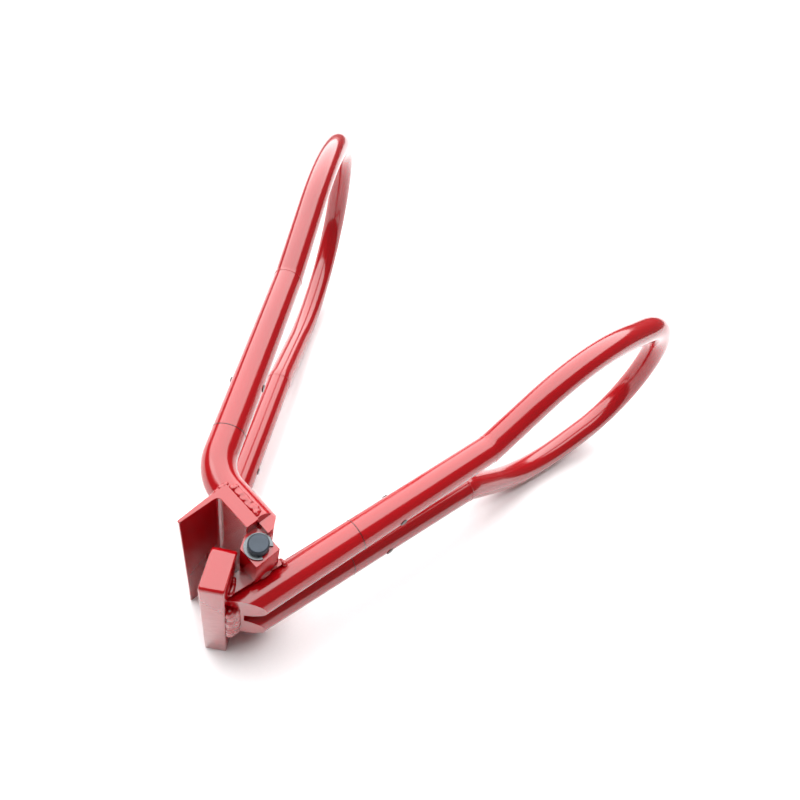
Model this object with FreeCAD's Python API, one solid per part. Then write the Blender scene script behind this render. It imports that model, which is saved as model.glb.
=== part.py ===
import FreeCAD, Part
import math
import os

# Seaming tongs: a welded steel two-lever hand tool.  An angle jaw and a block jaw face each
# other across one pivot pin, and each is carried by a closed loop handle of round tube.
# Millimetres.  The origin is on the pivot axis at the tool's middle plane.  +Z runs along the
# pivot axis and +X along the block jaw's handle.  The tool is the same above and below z = 0,
# but for the block jaw's shorter top, the bead in front of it and the slight lean of the loops.

Vec = FreeCAD.Vector
UP = Vec(0, 0, 1)
ORIGIN = Vec(0, 0, 0)
FAR = 400.0                      # reach of the half-space blocks that trim pieces

# ---- handle stock
TUBE_D = 21.3                    # outside diameter of the handle tube and of the solid stubs
TUBE_WALL = 2.6
SPIGOT_CLEAR = 0.05              # radial clearance of a stub's spigot in the tube
SPIGOT_L = 45.0                  # spigot length inside the tube
CROSS_PIN_D = 5.0
CROSS_PIN_CLEAR = 0.02
CROSS_PIN_PROUD = 0.4            # how far each end of a cross pin stands out of the tube

# ---- pivot
PIN_D = 12.0
PIN_CLEAR = 0.05                 # radial running clearance in the knuckles
PIN_STANDS = 5.2                 # pin above the knuckle's outer face
PIN_CHAMFER = 0.8
RING_T = 1.0
RING_OUT_R = 8.0
RING_GROOVE = 0.5                # depth of the ring's groove in the pin
RING_SIDE_CLEAR = 0.1            # ring to groove walls and to the knuckle face
RING_GAP_DEG = 70.0              # opening of the retaining ring
RING_GAP_AT_DEG = -67.0          # direction of that opening
KNUCKLE_GAP = 0.3                # running gap between the knuckles of the two arms

# ---- jaws
JAW_HALF_H = 60.0                # half the length of the angle jaw along the pivot axis

# ---- arm A: angle jaw.  Its own axes are b (outward from the pivot line) and a (towards the
#      inside corner of the angle), turned by JAW_TURN_DEG from the tool's axes.
JAW_TURN_DEG = 8.5
LEG_T = 8.0                      # thick leg of the angle
LEG_END_A = 10.0                 # where the thick leg ends, beside the knuckle
CORNER_A = 35.0                  # inside corner of the angle, measured from the pivot
LIP_L = 25.0                     # length of the thin leg
LIP_ROOT_T = 3.5
LIP_TIP_T = 2.0
LIP_PARALLEL_L = 6.0             # part of the thin leg that keeps its root thickness
CORNER_R = 3.0                   # inside corner radius
KNUCKLE_W = 16.0
KNUCKLE_BACK_A = -8.5
KNUCKLE_CUT_B = 6.5              # chamfer of the knuckle's jaw-side corner
KNUCKLE_CUT_A = 4.5
KNUCKLE_TOP_Z = 52.2
STUB_A_B = 9.7                   # the stub's axis beside the thick leg
STUB_A_Z = 48.0
STUB_A_END = 1.8                 # where the stub's flat end lies
FACET_Z = 56.0                   # flat ground on the stub's crest next to its end
FACET_A = 9.5                    # how far the flat reaches
FACET_RUNOUT = 2.0
END_CUT_B = 12.0                 # where the slanting cut of the stub's end starts
END_CUT_DEG = 40.0
ELBOW_A = 54.0                   # corner point of the stub's elbow
ELBOW_R = 30.0
HANDLE_A_DEG = 34.85             # handle direction, from the b axis
HANDLE_A_RISE = 0.08             # outward slope of the handle legs
ARM_A_JOINT = 29.4               # butt joint, along the leg from the elbow's corner point
CROSS_PIN_A = 37.5               # cross pin, beyond the butt joint
LOOP_A_CREASE = 168.0            # along the handle from the elbow's corner point
LOOP_A_WIDE = (281.0, 92.0)      # widest corner: distance from the elbow point, height
LOOP_A_END = (389.5, 65.0)       # outer corner at the end of the loop
LOOP_A_END_R = 82.0
LOOP_A_LEAN = 0.015              # sideways lean of the loop, per millimetre of height

# ---- arm B: block jaw.  Its own axes are g (away from the jaw's working face) and h (towards
#      the handles), turned by BLOCK_TURN_DEG from the tool's axes.
BLOCK_TURN_DEG = -45.0
BLOCK_T = 14.0
BLOCK_DEEP = 26.0
BLOCK_TOP_Z = 49.0               # the block stops short of the angle jaw's upper end
BLOCK_LOW_Z = -60.0
BLOCK_BACK_G = -10.5             # back face of the block, from the pivot
BLOCK_HEEL_H = -2.0              # end of the block next to the pivot
BLOCK_NOSE_R = 2.5               # eased corners at the block's front
BLOCK_HEEL_R = 4.5
STUB_B_Y = -14.1                 # stub axis, beside the pivot
STUB_B_Z = 16.6                  # height of the stub's axis at the pivot
STUB_B_RISE = 0.07               # outward slope of the handle legs
STUB_B_TRIM_H = -22.5            # flat cut ends of the stubs and of the gusset
ARM_B_JOINT = 62.0               # x of the butt joint
CROSS_PIN_B = 31.0               # cross pin, beyond the butt joint
EYE_R = 9.5                      # eye of the middle knuckle
BAR_X = 12.0                     # end of the middle knuckle's bar
BAR_LOW_Y = -8.0
BAR_HIGH_Y = 2.0
GUSSET_G = -1.0                  # free face of the gusset plate
GUSSET_H = -13.0                 # its inner edge, clear of the outer knuckles
GUSSET_HALF_H = 14.0
LOOP_B_CREASE = 181.0
LOOP_B_WIDE = (271.0, 77.0)
LOOP_B_END = (409.0, 57.2)
LOOP_B_END_R = 65.0
LOOP_B_LEAN = 0.08

# ---- both loops
CREASE_R = 25.0                  # tight bend where the legs flare into the loop
WIDE_R = 170.0

# ---- weld beads
BEAD_RUN = 5.5                   # width over the stub beside the thick leg
BEAD_RISE = 1.2                  # height up the thick leg above the stub
BEAD_CLEAR = 1.5                 # bead stops short of the jaw's ends
COLLAR = 3.8                     # size of the ring beads round a stub
FRONT_BEAD = 5.0                 # bead between the block and the stubs' cut ends
FRONT_BEAD_TOP_Z = 14.0
BACK_BEAD_RUN = 3.5              # beads between the block's back face and the knuckle's bar
BACK_BEAD_RISE = 4.0
BACK_BEAD_H = (-20.0, -11.0)

# ---- worked out
TUBE_R = TUBE_D / 2
BORE_R = TUBE_R - TUBE_WALL
SPIGOT_R = BORE_R - SPIGOT_CLEAR
PIN_R = PIN_D / 2
HOLE_R = PIN_R + PIN_CLEAR
BAR_HALF_H = STUB_B_Z + TUBE_R + STUB_B_RISE * BAR_X + KNUCKLE_GAP
KNUCKLE_LOW_Z = BAR_HALF_H + KNUCKLE_GAP
BLOCK_FACE_G = BLOCK_BACK_G - BLOCK_T
BLOCK_FRONT_H = BLOCK_HEEL_H - BLOCK_DEEP
LEG_BACK_A = CORNER_A + LIP_ROOT_T
SIDES = (("upper", 1), ("lower", -1))


def turned(shape, degrees):
    """Return the shape turned about the pivot axis."""
    copy = shape.copy()
    copy.rotate(ORIGIN, UP, degrees)
    return copy


def mirrored(shape):
    """Return the shape mirrored in the tool's middle plane."""
    return shape.mirror(ORIGIN, UP)


def on_side(shape, side):
    """Keep the upper shape, or mirror it for the lower side."""
    return shape if side > 0 else mirrored(shape)


def prism(points, low, high):
    """Upright prism on a plan outline."""
    outline = Part.makePolygon([Vec(x, y, low) for x, y in points] + [Vec(*points[0], low)])
    return Part.Face(outline).extrude(Vec(0, 0, high - low))


def box(x_span, y_span, z_span):
    """Box between two values on each axis."""
    size = [span[1] - span[0] for span in (x_span, y_span, z_span)]
    return Part.makeBox(*size, Vec(x_span[0], y_span[0], z_span[0]))


def cylinder(radius, low, high):
    """Cylinder on the pivot axis."""
    return Part.makeCylinder(radius, high - low, Vec(0, 0, low))


def fillet_vertex(before, corner, after, radius):
    """Start, middle and end of the arc that rounds a corner of a path."""
    back = (before - corner).normalize()
    ahead = (after - corner).normalize()
    half = back.getAngle(ahead) / 2
    bisector = (back + ahead).normalize()
    centre = corner + bisector * (radius / math.sin(half))
    reach = radius / math.tan(half)
    return corner + back * reach, centre - bisector * radius, corner + ahead * reach


def rounded_path(points, radii):
    """Wire of straight runs joined by tangent arcs, one radius per inner corner."""
    edges = []
    last = points[0]
    for index, radius in enumerate(radii, start=1):
        start, middle, end = fillet_vertex(points[index - 1], points[index], points[index + 1], radius)
        edges.append(Part.makeLine(last, start))
        edges.append(Part.Arc(start, middle, end).toShape())
        last = end
    edges.append(Part.makeLine(last, points[-1]))
    return Part.Wire(edges)


def rounded_outline(points, radii):
    """Closed wire with an arc at each corner."""
    count = len(points)
    arcs = [
        fillet_vertex(points[index - 1], points[index], points[(index + 1) % count], radius)
        for index, radius in enumerate(radii)
    ]
    edges = []
    for index, (start, middle, end) in enumerate(arcs):
        edges.append(Part.Arc(start, middle, end).toShape())
        edges.append(Part.makeLine(end, arcs[(index + 1) % count][0]))
    return Part.Wire(edges)


def swept(path, radius, start, direction):
    """Round bar along a path."""
    profile = Part.Wire([Part.makeCircle(radius, start, direction)])
    return path.makePipeShell([profile], True, False)


def rod(start, direction, radius, length):
    """Straight round bar."""
    return Part.makeCylinder(radius, length, start, direction)


# ---------------------------------------------------------------- arm A axes (in b, a, z)
HANDLE_A_PLAN = Vec(math.cos(math.radians(HANDLE_A_DEG)), math.sin(math.radians(HANDLE_A_DEG)), 0)
HANDLE_A_SIDE = Vec(-HANDLE_A_PLAN.y, HANDLE_A_PLAN.x, 0)
ELBOW_POINT = Vec(STUB_A_B, ELBOW_A, STUB_A_Z)
LEG_A_DIR = (HANDLE_A_PLAN + UP * HANDLE_A_RISE).normalize()
LEG_B_DIR = Vec(1, 0, STUB_B_RISE).normalize()
HANDLE_B_SIDE = Vec(0, 1, 0)


def point_a(along, height):
    """Point in the plane of handle A, at a distance from the elbow's corner point."""
    foot = Vec(ELBOW_POINT.x, ELBOW_POINT.y, 0)
    return foot + HANDLE_A_PLAN * along + UP * height


def point_b(along, height):
    """Point in the plane of handle B."""
    return Vec(along, STUB_B_Y, height)


def height_a(along):
    """Height of handle A's straight leg."""
    return STUB_A_Z + HANDLE_A_RISE * along


def height_b(along):
    """Height of handle B's straight leg."""
    return STUB_B_Z + STUB_B_RISE * along


def loop_handle(point, height, direction, side, joint, pin_at, crease, wide, end, end_r, lean):
    """Closed tube handle: leg, flare, round end and back, with its cross pin holes."""
    straight = [(joint, height(joint)), (crease, height(crease))]
    upper = [point(*place) for place in straight]
    upper += [point(along, up) + side * (lean * up) for along, up in (wide, end)]
    lower = [point(along, -up) for along, up in straight]
    lower += [point(along, -up) - side * (lean * up) for along, up in (wide, end)]
    points = upper + lower[::-1]
    path = rounded_path(points, [CREASE_R, WIDE_R, end_r, end_r, WIDE_R, CREASE_R])
    tube = swept(path, TUBE_R, points[0], direction).cut(swept(path, BORE_R, points[0], direction))
    return tube.cut(Part.Compound(cross_pins(points[0], direction, side, pin_at, CROSS_PIN_CLEAR)))


def cross_pins(joint, direction, side, pin_at, clearance=0.0):
    """Upper and lower cross pins of one handle, or the holes for them."""
    radius = CROSS_PIN_D / 2 + clearance
    reach = TUBE_R + CROSS_PIN_PROUD
    start = joint + direction * pin_at - side * reach
    upper = rod(start, side, radius, 2 * reach)
    return [upper, mirrored(upper)]


def spigot(joint, direction):
    """Turned-down end of a stub inside the handle tube."""
    return rod(joint, direction, SPIGOT_R, SPIGOT_L)


# ---------------------------------------------------------------- arm A pieces (in b, a, z)
def angle_jaw():
    """Angle section: thick leg beside the pivot and thin tapered lip."""
    outline = [
        (0, LEG_END_A), (LEG_T, LEG_END_A), (LEG_T, LEG_BACK_A), (-LIP_PARALLEL_L, LEG_BACK_A),
        (-LIP_L, CORNER_A + LIP_TIP_T), (-LIP_L, CORNER_A), (0, CORNER_A),
    ]
    solid = prism(outline, -JAW_HALF_H, JAW_HALF_H)
    inner = [
        edge for edge in solid.Edges
        if all(abs(v.X) < 1e-6 and abs(v.Y - CORNER_A) < 1e-6 for v in edge.Vertexes)
    ]
    return solid.makeFillet(CORNER_R, inner)


def outer_knuckle():
    """Upper knuckle of the angle jaw, square against the thick leg's end."""
    half = KNUCKLE_W / 2
    outline = [
        (-half, KNUCKLE_BACK_A), (half, KNUCKLE_BACK_A), (half, LEG_END_A),
        (KNUCKLE_CUT_B - half, LEG_END_A), (-half, LEG_END_A - KNUCKLE_CUT_A),
    ]
    return prism(outline, KNUCKLE_LOW_Z, KNUCKLE_TOP_Z).cut(cylinder(HOLE_R, 0, FAR))


def stub_a_round():
    """Upper stub before it is cut to the jaw: straight bar, elbow and leg to the butt joint."""
    start = Vec(STUB_A_B, STUB_A_END, STUB_A_Z)
    joint = point_a(ARM_A_JOINT, height_a(ARM_A_JOINT))
    path = rounded_path([start, ELBOW_POINT, joint], [ELBOW_R])
    return swept(path, TUBE_R, start, Vec(0, 1, 0))


def stub_a_cuts():
    """What is ground off the stub's end: a flat on its crest and a slanting cut outside."""
    top = STUB_A_Z + TUBE_R
    flat = [(STUB_A_END, FACET_Z), (FACET_A, FACET_Z), (FACET_A + FACET_RUNOUT, top), (STUB_A_END, top)]
    points = [Vec(LEG_T, a, z) for a, z in flat]
    facet = Part.Face(Part.makePolygon(points + points[:1])).extrude(Vec(2 * TUBE_D, 0, 0))
    run = STUB_A_B + TUBE_D - END_CUT_B
    depth = run * math.tan(math.radians(END_CUT_DEG))
    plan = [(END_CUT_B, STUB_A_END), (END_CUT_B + run, STUB_A_END), (END_CUT_B + run, STUB_A_END + depth)]
    return facet, prism(plan, 0, FAR)


def stub_a():
    """Upper stub: flat along the thick leg, cut at its end, with its spigot at the other."""
    jaw_side = box((-FAR, LEG_T), (-FAR, LEG_BACK_A), (0, FAR))
    bar = stub_a_round().cut(jaw_side)
    for cut in stub_a_cuts():
        bar = bar.cut(cut)
    joint = point_a(ARM_A_JOINT, height_a(ARM_A_JOINT))
    bar = bar.fuse(spigot(joint, LEG_A_DIR))
    holes = cross_pins(joint, LEG_A_DIR, HANDLE_A_SIDE, CROSS_PIN_A, CROSS_PIN_CLEAR)
    return bar.cut(Part.Compound(holes))


def weld_angle():
    """Upper bead along the stub, on the thick leg's outer face."""
    top = STUB_A_Z + TUBE_R
    section = [
        (LEG_T, top - BEAD_RISE), (LEG_T + BEAD_RUN, top - BEAD_RISE), (LEG_T + BEAD_RUN, top),
        (LEG_T + BEAD_RUN / 2, top + BEAD_RISE), (LEG_T, top + BEAD_RISE),
    ]
    start = FACET_A + FACET_RUNOUT
    points = [Vec(b, start, z) for b, z in section]
    face = Part.Face(Part.makePolygon(points + points[:1]))
    length = LEG_BACK_A - start - BEAD_CLEAR
    return face.extrude(Vec(0, length, 0)).cut(stub_a_round())


def weld_corner():
    """Upper ring bead where the whole stub meets the back of the angle."""
    start = Vec(STUB_A_B, LEG_BACK_A, STUB_A_Z)
    collar = Part.makeCone(TUBE_R + COLLAR, TUBE_R, COLLAR, start, Vec(0, 1, 0))
    jaw_side = box((-FAR, LEG_T), (-FAR, FAR), (0, JAW_HALF_H))
    return collar.common(jaw_side).cut(stub_a_round())


def pivot_pin():
    """Pin with a retaining ring groove near each end."""
    half = KNUCKLE_TOP_Z + PIN_STANDS
    pin = cylinder(PIN_R, -half, half)
    pin = pin.makeChamfer(PIN_CHAMFER, [edge for edge in pin.Edges if len(edge.Vertexes) == 1])
    low = KNUCKLE_TOP_Z
    high = low + RING_T + 2 * RING_SIDE_CLEAR
    groove = cylinder(PIN_R + 1, low, high).cut(cylinder(PIN_R - RING_GROOVE, low, high))
    return pin.cut(groove).cut(mirrored(groove))


def retaining_ring():
    """Open ring in the pin's upper groove."""
    low = KNUCKLE_TOP_Z + RING_SIDE_CLEAR
    high = low + RING_T
    inner_r = PIN_R - RING_GROOVE + PIN_CLEAR
    ring = cylinder(RING_OUT_R, low, high).cut(cylinder(inner_r, low, high))
    half = math.radians(RING_GAP_DEG / 2)
    reach = 2 * RING_OUT_R
    wedge = [(0, 0), (reach, -reach * math.tan(half)), (reach, reach * math.tan(half))]
    return ring.cut(turned(prism(wedge, low, high), RING_GAP_AT_DEG))


# ---------------------------------------------------------------- arm B pieces
def in_block_axes(g_span, h_span, z_span):
    """Box stated in the block jaw's own axes."""
    return turned(box(g_span, h_span, z_span), BLOCK_TURN_DEG)


def block_jaw():
    """Thick flat bar with eased corners."""
    corners = [
        (BLOCK_FRONT_H, BLOCK_LOW_Z, BLOCK_NOSE_R), (BLOCK_HEEL_H, BLOCK_LOW_Z, BLOCK_HEEL_R),
        (BLOCK_HEEL_H, BLOCK_TOP_Z, BLOCK_HEEL_R), (BLOCK_FRONT_H, BLOCK_TOP_Z, BLOCK_NOSE_R),
    ]
    points = [Vec(BLOCK_FACE_G, h, z) for h, z, _ in corners]
    face = Part.Face(rounded_outline(points, [radius for _, _, radius in corners]))
    return turned(face.extrude(Vec(BLOCK_T, 0, 0)), BLOCK_TURN_DEG)


def middle_knuckle():
    """Eye and bar of the block jaw's arm, cut off flat against the block's back face."""
    span = (-BAR_HALF_H, BAR_HALF_H)
    bar = box((-FAR, BAR_X), (BAR_LOW_Y, BAR_HIGH_Y), span)
    bar = bar.fuse(cylinder(EYE_R, *span)).removeSplitter()
    keep = in_block_axes((BLOCK_BACK_G, FAR), (STUB_B_TRIM_H, FAR), span)
    return bar.common(keep).cut(cylinder(HOLE_R, -FAR, FAR))


def gusset():
    """Filler plate between the two stubs, square against the block's back face."""
    span = (-GUSSET_HALF_H, GUSSET_HALF_H)
    plate = in_block_axes((BLOCK_BACK_G, GUSSET_G), (STUB_B_TRIM_H, GUSSET_H), span)
    return plate.cut(middle_knuckle())


def stub_b_round():
    """Upper stub before it is cut: a straight round bar that passes beside the pivot."""
    start = point_b(-3 * TUBE_D, height_b(-3 * TUBE_D))
    joint = point_b(ARM_B_JOINT, height_b(ARM_B_JOINT))
    return rod(start, LEG_B_DIR, TUBE_R, (joint - start).Length)


def stub_b():
    """Upper stub: coped round the knuckle and gusset, cut flat at the front, with its spigot."""
    keep = in_block_axes((BLOCK_BACK_G, FAR), (STUB_B_TRIM_H, FAR), (-FAR, FAR))
    bar = stub_b_round().common(keep).cut(middle_knuckle()).cut(gusset())
    bar = bar.cut(cylinder(HOLE_R, -FAR, FAR))
    joint = point_b(ARM_B_JOINT, height_b(ARM_B_JOINT))
    bar = bar.fuse(spigot(joint, LEG_B_DIR))
    holes = cross_pins(joint, LEG_B_DIR, HANDLE_B_SIDE, CROSS_PIN_B, CROSS_PIN_CLEAR)
    return bar.cut(Part.Compound(holes))


def weld_front():
    """Bead down the corner between the block's back face and the cut ends of the stubs."""
    corner = (BLOCK_BACK_G, STUB_B_TRIM_H)
    outline = [corner, (corner[0], corner[1] - FRONT_BEAD), (corner[0] + FRONT_BEAD, corner[1])]
    return turned(prism(outline, -BAR_HALF_H, FRONT_BEAD_TOP_Z), BLOCK_TURN_DEG)


def weld_block():
    """Upper bead in the corner between the block's back face and the top of the knuckle's bar."""
    section = [(0, 0), (BACK_BEAD_RUN, 0), (0, BACK_BEAD_RISE)]
    low, high = BACK_BEAD_H
    points = [Vec(BLOCK_BACK_G + g, low, BAR_HALF_H + z) for g, z in section]
    face = Part.Face(Part.makePolygon(points + points[:1]))
    return turned(face.extrude(Vec(0, high - low, 0)), BLOCK_TURN_DEG)


def weld_knuckle():
    """Upper bead between the end of the middle knuckle's bar and the stub."""
    start = point_b(BAR_X, height_b(BAR_X))
    collar = Part.makeCone(TUBE_R + COLLAR, TUBE_R, COLLAR, start, Vec(1, 0, 0))
    keep = box((BAR_X, FAR), (BAR_LOW_Y, BAR_HIGH_Y), (STUB_B_Z, BAR_HALF_H))
    return collar.common(keep).cut(stub_b_round())


# ---------------------------------------------------------------- export
def save(name, *solids):
    """Write one named piece."""
    shape = solids[0] if len(solids) == 1 else Part.Compound(list(solids))
    if not shape.isValid():
        raise ValueError(name + " is not a valid shape")
    print(name, len(shape.Solids), round(shape.Volume, 1))
    shape.exportStep("parts/" + name + ".step")


def build_arm_a():
    """Write the pieces of the angle jaw's arm."""
    joint = point_a(ARM_A_JOINT, height_a(ARM_A_JOINT))
    loop = loop_handle(
        point_a, height_a, LEG_A_DIR, HANDLE_A_SIDE, ARM_A_JOINT, CROSS_PIN_A, LOOP_A_CREASE,
        LOOP_A_WIDE, LOOP_A_END, LOOP_A_END_R, LOOP_A_LEAN,
    )
    pins = cross_pins(joint, LEG_A_DIR, HANDLE_A_SIDE, CROSS_PIN_A)
    save("angle_jaw", turned(angle_jaw(), JAW_TURN_DEG))
    save("loop_handle_a", turned(loop, JAW_TURN_DEG))
    save("cross_pins_a", *[turned(pin, JAW_TURN_DEG) for pin in pins])
    for name, side in SIDES:
        save("stub_a_" + name, turned(on_side(stub_a(), side), JAW_TURN_DEG))
        save("outer_knuckle_" + name, turned(on_side(outer_knuckle(), side), JAW_TURN_DEG))
        save("weld_angle_" + name, turned(on_side(weld_angle(), side), JAW_TURN_DEG))
        save("weld_corner_" + name, turned(on_side(weld_corner(), side), JAW_TURN_DEG))
    save("pivot_pin", pivot_pin())
    save("retaining_rings", *[on_side(retaining_ring(), side) for _, side in SIDES])


def build_arm_b():
    """Write the pieces of the block jaw's arm."""
    joint = point_b(ARM_B_JOINT, height_b(ARM_B_JOINT))
    loop = loop_handle(
        point_b, height_b, LEG_B_DIR, HANDLE_B_SIDE, ARM_B_JOINT, CROSS_PIN_B, LOOP_B_CREASE,
        LOOP_B_WIDE, LOOP_B_END, LOOP_B_END_R, LOOP_B_LEAN,
    )
    save("block_jaw", block_jaw())
    save("middle_knuckle", middle_knuckle())
    save("gusset", gusset())
    save("loop_handle_b", loop)
    save("cross_pins_b", *cross_pins(joint, LEG_B_DIR, HANDLE_B_SIDE, CROSS_PIN_B))
    save("weld_front", weld_front())
    for name, side in SIDES:
        save("stub_b_" + name, on_side(stub_b(), side))
        save("weld_block_" + name, on_side(weld_block(), side))
        save("weld_knuckle_" + name, on_side(weld_knuckle(), side))


os.makedirs("parts", exist_ok=True)
build_arm_a()
build_arm_b()
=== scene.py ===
import math
import random

import bmesh
import bpy
from mathutils import Matrix, Vector


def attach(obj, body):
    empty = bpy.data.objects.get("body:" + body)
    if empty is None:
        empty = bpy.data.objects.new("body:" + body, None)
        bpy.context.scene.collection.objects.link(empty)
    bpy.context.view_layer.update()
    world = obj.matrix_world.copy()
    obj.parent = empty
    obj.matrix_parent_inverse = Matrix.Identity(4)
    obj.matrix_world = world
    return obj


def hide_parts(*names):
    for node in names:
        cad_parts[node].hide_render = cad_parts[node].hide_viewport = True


# Welded seaming tongs lying on their side on a pale studio sweep.  Metres throughout, in the
# frame of the construction model: origin on the pivot axis, +Z along it, +X along handle B.

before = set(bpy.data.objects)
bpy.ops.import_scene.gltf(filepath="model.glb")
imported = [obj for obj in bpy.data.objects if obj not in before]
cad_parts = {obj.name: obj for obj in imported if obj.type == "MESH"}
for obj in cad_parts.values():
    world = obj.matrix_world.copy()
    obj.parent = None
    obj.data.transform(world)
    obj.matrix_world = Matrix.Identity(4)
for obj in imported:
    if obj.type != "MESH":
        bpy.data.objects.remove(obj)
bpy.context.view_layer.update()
MM = 0.001

# ---- sizes shared with the construction model, in millimetres and degrees
JAW_TURN = 8.5                   # axes b and a of the angle jaw, from the tool's axes
BLOCK_TURN = -45.0               # axes g and h of the block jaw
HALF_JAW = 60.0
LEG_T, LEG_END = 8.0, 10.0       # thick leg: its thickness, and where it ends beside the pivot
CORNER, CORNER_R = 35.0, 3.0     # inside corner of the angle
LIP_L, LIP_PARALLEL = 25.0, 6.0  # thin lip, and the part of it that doesn't taper
LIP_ROOT, LIP_TIP = 3.5, 2.0     # its thickness at the corner and at its edge
BLOCK_BACK, BLOCK_T = -10.5, 14.0
BLOCK_FRONT, BLOCK_HEEL = -28.0, -2.0
BLOCK_TOP, BLOCK_LOW = 49.0, -60.0
BLOCK_NOSE_R, BLOCK_HEEL_R = 2.5, 4.5
TUBE_R = 10.65
STUB_A = (9.7, 48.0)             # b and z of the stub's axis beside the thick leg
ELBOW_A, HANDLE_A_DEG, HANDLE_A_RISE, JOINT_A = 54.0, 34.85, 0.08, 29.4
STUB_B = (-14.1, 16.6)           # y and z of the stub's axis at the pivot
HANDLE_B_RISE, JOINT_B = 0.07, 62.0
CREASE_A, CREASE_B = 165.0, 178.0
BAR_HALF = 28.4                  # half height of the middle knuckle's bar
BAR_END = 12.0

# ---- sizes that only this model has, in millimetres
EASED_ANGLE, EASED_BLOCK = 0.45, 0.9           # edges rounded under the paint
HAIRLINE, HAIRLINE_PROUD = 0.28, 0.18          # half width and height of a joint's dark line of painted shade
RIM, RIM_PROUD = 1.2, 0.3                      # the same for the raised rim at a crease
DROP_LEG, DROP_BACK, DROP_END = 2.0, 2.1, 1.7  # radius of one weld drop in each bead
DROP_BLOCK, DROP_BAR, DROP_FRONT = 1.7, 2.1, 2.9
DROP_STRAY, DROP_LEAST, DROP_MOST = 0.35, 0.85, 1.2
BEAD_VOXEL = 0.42

# ---- pitch of each pattern, in millimetres
DRIFT = 62.5                     # slow change of tone along a sprayed part
ORANGE_PEEL = 2.08               # drawn about twice as coarse as it is, so that it shows at all
TUBE_WAVES, SAW_WAVES, WELD_WAVES = 16.7, 5.9, 4.5
# The first pitch below mottles the near-black painted shade of the joints.
JOINT_SHADE_MOTTLE, STEEL_CLOUD, ZINC_CLOUD, PAPER_GRAIN = 3.3, 3.8, 1.7, 1.1
LATHE_RINGS = 0.83
WAVE_TEXTURE_TURNS = 20.0        # radians that the wave texture makes per unit of its scale
SIDES = (("upper", 1), ("lower", -1))


# ------------------------------------------------------------------ colour and nodes
def linear(hex_colour):
    """sRGB hex value to linear RGBA."""
    parts = [int(hex_colour[i:i + 2], 16) / 255 for i in (1, 3, 5)]
    return [c / 12.92 if c <= 0.04045 else ((c + 0.055) / 1.055) ** 2.4 for c in parts] + [1.0]


def add_node(tree, kind, settings=None, inputs=None):
    """Add a node, set its attributes, then fill its inputs with values or links."""
    node = tree.nodes.new(kind)
    for name, value in (settings or {}).items():
        setattr(node, name, value)
    for name, value in (inputs or {}).items():
        if isinstance(value, bpy.types.NodeSocket):
            tree.links.new(value, node.inputs[name])
        else:
            node.inputs[name].default_value = value
    return node


def new_material(name):
    """Empty material; returns it, its node tree and the object coordinates."""
    material = bpy.data.materials.new(name)
    material.use_nodes = True
    tree = material.node_tree
    tree.nodes.clear()
    return material, tree, add_node(tree, "ShaderNodeTexCoord").outputs["Object"]


def noise(tree, place, pitch, detail=1.0):
    """Value of a noise texture, from its pitch in millimetres."""
    return add_node(tree, "ShaderNodeTexNoise", inputs={
        "Vector": place, "Scale": 1 / (pitch * MM), "Detail": detail}).outputs["Fac"]


def colour_between(tree, factor, first, second):
    """Mix of two hex colours by a value."""
    return add_node(tree, "ShaderNodeMix", {"data_type": "RGBA"}, {
        "Factor": factor, "A": linear(first), "B": linear(second)}).outputs["Result"]


def value_between(tree, value, low, high):
    """A 0 to 1 value brought to another range."""
    return add_node(tree, "ShaderNodeMapRange", inputs={
        "Value": value, "To Min": low, "To Max": high}).outputs["Result"]


def finish_material(material, tree, inputs):
    """Close a material with its shader."""
    shader = add_node(tree, "ShaderNodeBsdfPrincipled", inputs=inputs)
    add_node(tree, "ShaderNodeOutputMaterial", inputs={"Surface": shader.outputs["BSDF"]})
    return material


def gloss_enamel(name, wave_pitch, wave_height):
    """Gloss enamel over steel: orange peel over slow waves that bend its reflections."""
    material, tree, place = new_material(name)
    drift = noise(tree, place, DRIFT, 2.0)
    peel = noise(tree, place, ORANGE_PEEL)
    waves = noise(tree, place, wave_pitch, 2.0)
    slow = add_node(tree, "ShaderNodeBump", inputs={
        "Strength": 0.5, "Distance": wave_height * MM, "Height": waves}).outputs["Normal"]
    fine = add_node(tree, "ShaderNodeBump", inputs={
        "Strength": 0.05, "Distance": 0.15 * MM, "Height": peel, "Normal": slow}).outputs["Normal"]
    return finish_material(material, tree, {
        "Base Color": colour_between(tree, drift, "#920209", "#A5040F"),
        "Roughness": value_between(tree, drift, 0.12, 0.22), "IOR": 1.52,
        "Coat Weight": 0.5, "Coat Roughness": 0.04, "Coat IOR": 1.5, "Normal": fine})


def painted_joint_shade():
    """Painted shade: near-black enamel standing in for the shade in a narrow joint, where little light
    returns.
    """
    material, tree, place = new_material("painted_shade_in_a_joint")
    shade_mottle = noise(tree, place, JOINT_SHADE_MOTTLE)
    return finish_material(material, tree, {
        "Base Color": colour_between(tree, shade_mottle, "#120102", "#240104"), "Roughness": 0.35})


def turned_steel():
    """End of a turned pin: dull blue-grey with fine lathe rings."""
    material, tree, place = new_material("turned_pin_steel")
    rings = add_node(tree, "ShaderNodeTexWave", {"wave_type": "RINGS", "rings_direction": "Z"}, {
        "Vector": place, "Distortion": 0.6,
        "Scale": math.tau / WAVE_TEXTURE_TURNS / (LATHE_RINGS * MM)}).outputs["Fac"]
    bump = add_node(tree, "ShaderNodeBump", inputs={
        "Strength": 0.25, "Distance": 0.03 * MM, "Height": rings}).outputs["Normal"]
    return finish_material(material, tree, {
        "Base Color": colour_between(tree, noise(tree, place, STEEL_CLOUD, 3.0), "#30363D", "#3E464F"),
        "Metallic": 0.6, "Roughness": value_between(tree, rings, 0.42, 0.55), "Normal": bump})


def zinc_plate():
    """Bright zinc on spring steel, slightly clouded."""
    material, tree, place = new_material("bright_zinc_plate")
    cloud = noise(tree, place, ZINC_CLOUD, 2.0)
    return finish_material(material, tree, {
        "Base Color": colour_between(tree, cloud, "#4E5254", "#63676A"), "Metallic": 1.0,
        "Roughness": value_between(tree, cloud, 0.2, 0.34)})


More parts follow.
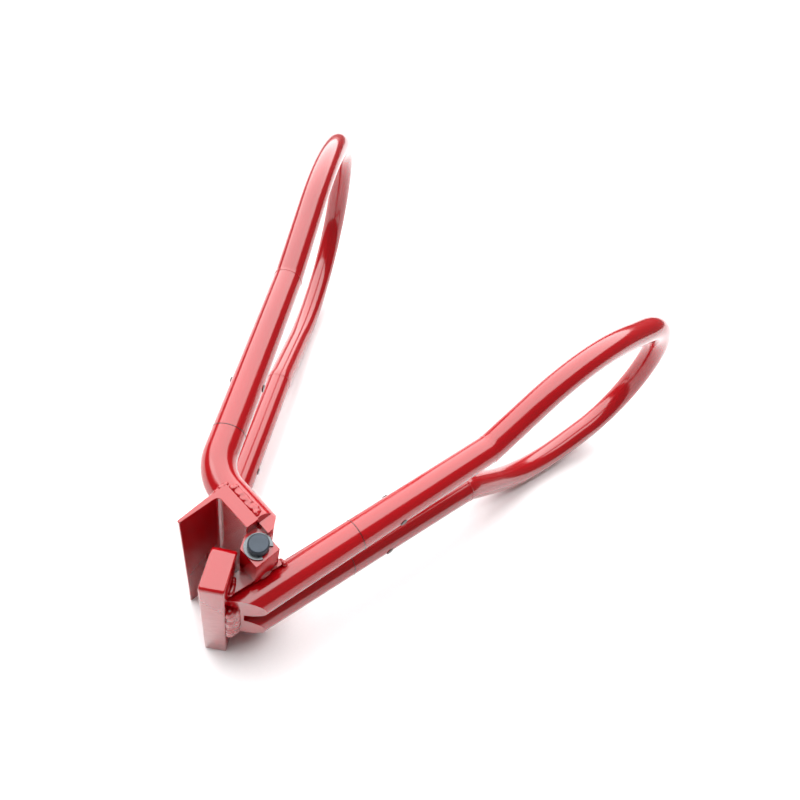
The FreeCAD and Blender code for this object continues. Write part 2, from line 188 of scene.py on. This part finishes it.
# The same spray over three surfaces: drawn tube and ground bar, a sawn block, and weld metal.
ENAMEL = gloss_enamel("gloss_red_enamel", TUBE_WAVES, 0.05)
BLOCK_ENAMEL = gloss_enamel("gloss_red_enamel_on_sawn_steel", SAW_WAVES, 0.35)
BEAD_ENAMEL = gloss_enamel("gloss_red_enamel_on_weld", WELD_WAVES, 0.12)
# Near-black painted shade, put on the joint lines and on the cross-pin ends.
JOINT_SHADE = painted_joint_shade()
NODE_FINISH = {
    "pivot_pin": turned_steel(), "retaining_rings": zinc_plate(),
    # The cross-pin ends are drawn in the joints' near-black painted shade.
    "cross_pins_a": JOINT_SHADE, "cross_pins_b": JOINT_SHADE,
}
for name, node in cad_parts.items():
    node.data.materials.clear()
    node.data.materials.append(NODE_FINISH.get(name, ENAMEL))


# ------------------------------------------------------------------ pieces
def piece_from(shape, name, body, material, turn=0.0, smooth=False):
    """Clean a mesh drawn in millimetres, turn it about the pivot and make it a riding piece."""
    bmesh.ops.remove_doubles(shape, verts=shape.verts, dist=0.001)
    bmesh.ops.recalc_face_normals(shape, faces=shape.faces)
    bmesh.ops.scale(shape, verts=shape.verts, vec=(MM, MM, MM))
    bmesh.ops.rotate(shape, verts=shape.verts, matrix=Matrix.Rotation(math.radians(turn), 3, "Z"))
    for face in shape.faces:
        face.smooth = smooth
    mesh = bpy.data.meshes.new(name)
    shape.to_mesh(mesh)
    shape.free()
    mesh.materials.append(material)
    piece = bpy.data.objects.new(name, mesh)
    bpy.context.scene.collection.objects.link(piece)
    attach(piece, body)
    return piece


def extruded(points, along):
    """Solid drawn from a closed outline, pushed along a vector."""
    shape = bmesh.new()
    corners = [shape.verts.new(point) for point in points]
    rim = [shape.edges.new((corners[i - 1], corner)) for i, corner in enumerate(corners)]
    face = bmesh.ops.contextual_create(shape, geom=rim)["faces"]
    pushed = bmesh.ops.extrude_face_region(shape, geom=face)["geom"]
    verts = [item for item in pushed if isinstance(item, bmesh.types.BMVert)]
    bmesh.ops.translate(shape, verts=verts, vec=along)
    bmesh.ops.recalc_face_normals(shape, faces=shape.faces)
    return shape


def ease_edges(shape, width, least_degrees=30.0):
    """Round every edge that is sharper than an angle."""
    sharp = [e for e in shape.edges if e.calc_face_angle(0.0) > math.radians(least_degrees)]
    bmesh.ops.bevel(shape, geom=sharp, offset=width, affect="EDGES", segments=3, profile=0.5, material=-1)


def arc(centre, radius, start, end, steps):
    """Points round part of a circle."""
    angles = [math.radians(start + (end - start) * i / steps) for i in range(steps + 1)]
    return [(centre[0] + radius * math.cos(t), centre[1] + radius * math.sin(t)) for t in angles]


def angle_section():
    """Thick leg and thin lip with paint-softened edges and a filleted inside corner."""
    inner = arc((-CORNER_R, CORNER - CORNER_R), CORNER_R, 90, 0, 6)
    outline = [(-LIP_L, CORNER)] + inner + [
        (0, LEG_END), (LEG_T, LEG_END), (LEG_T, CORNER + LIP_ROOT), (-LIP_PARALLEL, CORNER + LIP_ROOT),
        (-LIP_L, CORNER + LIP_TIP)]
    shape = extruded([(b, a, -HALF_JAW) for b, a in outline], (0, 0, 2 * HALF_JAW))
    ease_edges(shape, EASED_ANGLE)
    piece = piece_from(shape, "angle_section", "angle_arm", ENAMEL, JAW_TURN)
    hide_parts("angle_jaw")


def block_bar():
    """Thick sawn bar, its edges rounded under the enamel."""
    front, heel = BLOCK_NOSE_R, BLOCK_HEEL_R
    outline = (
        arc((BLOCK_FRONT + front, BLOCK_LOW + front), front, 180, 270, 5)
        + arc((BLOCK_HEEL - heel, BLOCK_LOW + heel), heel, 270, 360, 7)
        + arc((BLOCK_HEEL - heel, BLOCK_TOP - heel), heel, 0, 90, 7)
        + arc((BLOCK_FRONT + front, BLOCK_TOP - front), front, 90, 180, 5))
    points = [(BLOCK_BACK - BLOCK_T, h, z) for h, z in outline]
    shape = extruded(points, (BLOCK_T, 0, 0))
    ease_edges(shape, EASED_BLOCK, 60.0)
    piece = piece_from(shape, "block_bar", "block_arm", BLOCK_ENAMEL, BLOCK_TURN, smooth=True)
    piece.data.set_sharp_from_angle(angle=math.radians(40))
    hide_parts("block_jaw")


def weld_bead(name, body, turn, path, size, nodes=()):
    """Run of overlapping weld drops fused into one lumpy bead under the paint."""
    chance = random.Random(name)
    shape = bmesh.new()
    for point in path:
        place = Vector(point) + Vector([chance.uniform(-DROP_STRAY, DROP_STRAY) for _ in range(3)])
        drop = Matrix.Diagonal([size * chance.uniform(DROP_LEAST, DROP_MOST) for _ in range(3)] + [1])
        bmesh.ops.create_icosphere(shape, subdivisions=3, radius=1.0, matrix=Matrix.Translation(place) @ drop)
    piece = piece_from(shape, name, body, BEAD_ENAMEL, turn, smooth=True)
    fuse = piece.modifiers.new("fuse", "REMESH")
    fuse.mode = "VOXEL"
    fuse.voxel_size = BEAD_VOXEL * MM
    fuse.use_smooth_shade = True
    soften = piece.modifiers.new("soften", "SMOOTH")
    soften.factor, soften.iterations = 0.5, 12
    if nodes:
        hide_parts(*nodes)


def line(start, end, count):
    """Points evenly spaced between two."""
    return [Vector(start).lerp(Vector(end), i / (count - 1)) for i in range(count)]


def arm_a_beads(name, side):
    """Beads that hold one stub to the angle jaw and its knuckle."""
    b, z = STUB_A
    crest = side * (z + TUBE_R - 1.1)
    along_leg = line((9.7, 13.5, crest), (9.7, 36, crest), 15)
    along_stub = line((11.6, 15, crest), (11.6, 34, crest), 12)
    weld_bead("bead_leg_" + name, "angle_arm", JAW_TURN, along_leg + along_stub, DROP_LEG,
              ["weld_angle_" + name])
    ring = arc((b, side * z), TUBE_R + 0.9, 100 * side, 250 * side, 10)
    weld_bead("bead_back_" + name, "angle_arm", JAW_TURN,
              [(x, CORNER + LIP_ROOT + 0.9, min(abs(h), 57.6) * side) for x, h in ring],
              DROP_BACK, ["weld_corner_" + name])
    weld_bead("bead_end_" + name, "angle_arm", JAW_TURN,
              line((8.6, 1.4, side * 40), (8.6, 1.4, side * 51), 6), DROP_END)


def arm_b_beads(name, side):
    """Beads of the middle knuckle's bar, against the block and round the stub."""
    height = side * (BAR_HALF + 0.8)
    weld_bead("bead_block_" + name, "block_arm", BLOCK_TURN,
              line((-9.3, -19.5, height), (-9.6, -12.6, height), 5), DROP_BLOCK, ["weld_block_" + name])
    y, z = STUB_B
    z += HANDLE_B_RISE * BAR_END
    ring = arc((y, side * z), TUBE_R + 0.7, 5 * side, 58 * side, 6)
    weld_bead("bead_bar_" + name, "block_arm", 0.0,
              [(BAR_END + 1.0, u, v) for u, v in ring], DROP_BAR, ["weld_knuckle_" + name])


def front_bead():
    """Heavy bead down the block's back face, over the cut ends of the stubs."""
    near = line((-8.7, -24.6, -27.5), (-8.7, -24.6, 12.5), 22)
    far = line((-6.2, -22.9, -25.0), (-6.2, -22.9, 11.0), 18)
    weld_bead("bead_front", "block_arm", BLOCK_TURN, near + far, DROP_FRONT, ["weld_front"])


def tube_ring(name, body, turn, centre, direction, material, thickness, proud):
    """Thin ring round a handle tube: a joint's hairline of painted shade or the raised rim of a crease."""
    shape = bmesh.new()
    wire = bmesh.ops.create_circle(
        shape, segments=10, radius=thickness, matrix=Matrix.Rotation(math.pi / 2, 4, "X"))
    bmesh.ops.translate(shape, verts=wire["verts"], vec=(TUBE_R + proud - thickness, 0, 0))
    bmesh.ops.spin(shape, geom=shape.edges[:], cent=(0, 0, 0), axis=(0, 0, 1), angle=math.tau, steps=72,
                   use_merge=True, dvec=(0, 0, 0))
    facing = Vector(direction).to_track_quat("Z", "Y").to_matrix().to_4x4()
    bmesh.ops.transform(shape, verts=shape.verts, matrix=Matrix.Translation(Vector(centre)) @ facing)
    piece_from(shape, name, body, material, turn, smooth=True)


def tube_rings(name, side):
    """Butt joint lines of painted shade and crease rims of both handles on one side."""
    aim = math.radians(HANDLE_A_DEG)
    for kind, along_a, along_b, look in (
            # The joint lines are near-black rings of painted shade, standing in for the groove of each butt
            # joint.
            ("joint_shade_line", JOINT_A, JOINT_B, (JOINT_SHADE, HAIRLINE, HAIRLINE_PROUD)),
            ("crease_rim", CREASE_A, CREASE_B, (ENAMEL, RIM, RIM_PROUD))):
        place = (STUB_A[0] + math.cos(aim) * along_a, ELBOW_A + math.sin(aim) * along_a,
                 side * (STUB_A[1] + HANDLE_A_RISE * along_a))
        tube_ring(kind + "_a_" + name, "angle_arm", JAW_TURN, place,
                  (math.cos(aim), math.sin(aim), side * HANDLE_A_RISE), *look)
        tube_ring(kind + "_b_" + name, "block_arm", 0.0,
                  (along_b, STUB_B[0], side * (STUB_B[1] + HANDLE_B_RISE * along_b)),
                  (1, 0, side * HANDLE_B_RISE), *look)


angle_section()
block_bar()
front_bead()
for side_name, sign in SIDES:
    arm_a_beads(side_name, sign)
    arm_b_beads(side_name, sign)
    tube_rings(side_name, sign)


# ------------------------------------------------------------------ floor, light and camera
MIDDLE = Vector((0.15, 0.08, 0.0))
FLOOR_HALF = 30.0                # metres, far past what any view shows of it
FLOOR_GAP = 0.2                  # millimetres between the tool and the floor
LENS, SENSOR = 27.1, 36.0
CAMERA_PLACE = (-78.15, -115.81, 371.44)
CAMERA_AZIMUTH_DEG, CAMERA_ELEVATION_DEG, CAMERA_ROLL_DEG = 216.60, 50.43, 19.48
PANEL_TOWARDS = (0.25, 0.55, 0.80)
PANEL_RADIUS_DEG = 48.0
PANEL_SOFTNESS = 0.012           # half width of the panel's edge, in the cosine of that angle
SURROUND, PANEL = 0.16, 4.3      # brightness of the surround and of the overhead panel


def rest_plane():
    """Point and normal of the plane that the tool lies on: both loops and the jaws' ends."""
    points = [[v.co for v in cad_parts[name].data.vertices] for name in (
        "loop_handle_a", "loop_handle_b", "angle_jaw")]
    normal = Vector((0, 0, 1))
    for _ in range(12):
        feet = [min(cloud, key=normal.dot) for cloud in points]
        normal = (feet[1] - feet[0]).cross(feet[2] - feet[0]).normalized()
        normal *= math.copysign(1.0, normal.z)
    return feet[0], normal


def studio():
    """Pale matt floor under the tool and an even white surround."""
    foot, normal = rest_plane()
    mesh = bpy.data.meshes.new("floor")
    shape = bmesh.new()
    bmesh.ops.create_grid(shape, x_segments=1, y_segments=1, size=FLOOR_HALF)
    turn = normal.to_track_quat("Z", "Y").to_matrix().to_4x4()
    under = Matrix.Translation(foot - normal * FLOOR_GAP * MM)
    bmesh.ops.transform(shape, verts=shape.verts, matrix=under @ turn)
    shape.to_mesh(mesh)
    shape.free()
    floor = bpy.data.objects.new("floor", mesh)
    bpy.context.scene.collection.objects.link(floor)
    material, tree, place = new_material("white_paper_sweep")
    grain = noise(tree, place, PAPER_GRAIN, 2.0)
    mesh.materials.append(finish_material(material, tree, {
        "Base Color": colour_between(tree, grain, "#F3F3F4", "#F8F8F8"), "Roughness": 0.9}))

    bpy.context.scene.world = overcast()


def overcast():
    """Even surround with one large bright overhead disc, as a lit ceiling panel."""
    world = bpy.data.worlds.new("studio")
    world.use_nodes = True
    tree = world.node_tree
    tree.nodes.clear()
    sky = add_node(tree, "ShaderNodeTexCoord").outputs["Generated"]
    facing = add_node(tree, "ShaderNodeVectorMath", {"operation": "DOT_PRODUCT"}, {
        0: sky, 1: Vector(PANEL_TOWARDS).normalized()}).outputs["Value"]
    edge = math.cos(math.radians(PANEL_RADIUS_DEG))
    strength = add_node(tree, "ShaderNodeMapRange", {"interpolation_type": "SMOOTHSTEP"}, {
        "Value": facing, "From Min": edge - PANEL_SOFTNESS, "From Max": edge + PANEL_SOFTNESS,
        "To Min": SURROUND, "To Max": PANEL}).outputs["Result"]
    back = add_node(tree, "ShaderNodeBackground", inputs={"Color": linear("#FFFFFF"), "Strength": strength})
    add_node(tree, "ShaderNodeOutputWorld", inputs={"Surface": back.outputs["Background"]})
    return world


def softbox(name, towards, distance, size, power):
    """Square soft light aimed at the middle of the tool."""
    light = bpy.data.lights.new(name, "AREA")
    light.shape = "SQUARE"
    light.size = size
    light.energy = power
    lamp = bpy.data.objects.new(name, light)
    bpy.context.scene.collection.objects.link(lamp)
    away = Vector(towards).normalized()
    lamp.location = MIDDLE + away * distance
    lamp.rotation_euler = away.to_track_quat("Z", "Y").to_euler()


def camera():
    """Camera above and in front of the jaws, rolled as the tool is seen."""
    data = bpy.data.cameras.new("camera")
    data.lens = LENS
    data.sensor_width = SENSOR
    data.clip_start = 0.01
    eye = bpy.data.objects.new("camera", data)
    bpy.context.scene.collection.objects.link(eye)
    aim, rise = math.radians(CAMERA_AZIMUTH_DEG), math.radians(CAMERA_ELEVATION_DEG)
    back = Vector((math.cos(rise) * math.cos(aim), math.cos(rise) * math.sin(aim), math.sin(rise)))
    turn = back.to_track_quat("Z", "Y").to_matrix() @ Matrix.Rotation(math.radians(CAMERA_ROLL_DEG), 3, "Z")
    eye.matrix_world = Matrix.Translation(Vector(CAMERA_PLACE) * MM) @ turn.to_4x4()
    bpy.context.scene.camera = eye


studio()
softbox("high_softbox", (-0.5, 0.5, 0.7), 4.0, 1.6, 10)
camera()
bpy.context.scene.view_settings.view_transform = "Standard"
